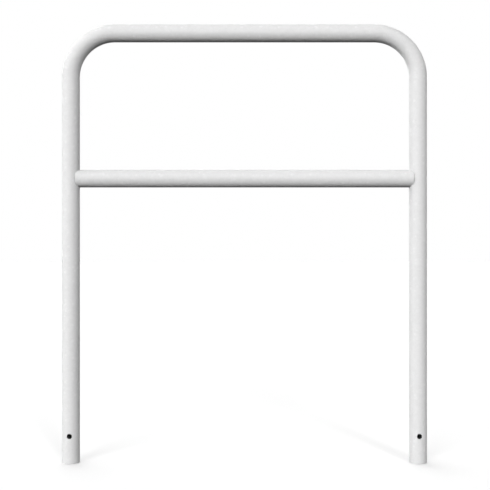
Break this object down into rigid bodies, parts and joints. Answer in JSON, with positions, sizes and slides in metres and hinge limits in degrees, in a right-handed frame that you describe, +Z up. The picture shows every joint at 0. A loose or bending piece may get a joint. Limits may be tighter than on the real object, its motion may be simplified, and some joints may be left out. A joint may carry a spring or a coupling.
{
  "type": "hoop barrier",
  "caption": "Square-shouldered hoop barrier of galvanised round steel tube with a welded cross rail, for setting into the ground by its drilled legs.",
  "frame": {"origin": "midway between the legs, level with their bottom ends; the ground line of a set-in barrier is 0.400 m above it", "axes": "+X along the rail, +Y to the back, +Z up"},
  "size_m": [1, 0.0484, 1.2],
  "materials": {
    "galvanised_tube": "matte",
    "galvanised_weld": "matte"
  },
  "bodies": {
    "root": {"hoop_tube": "galvanised_tube", "cross_rail": "galvanised_tube", "left_weld": "galvanised_weld", "right_weld": "galvanised_weld"}
  },
  "joints": []
}
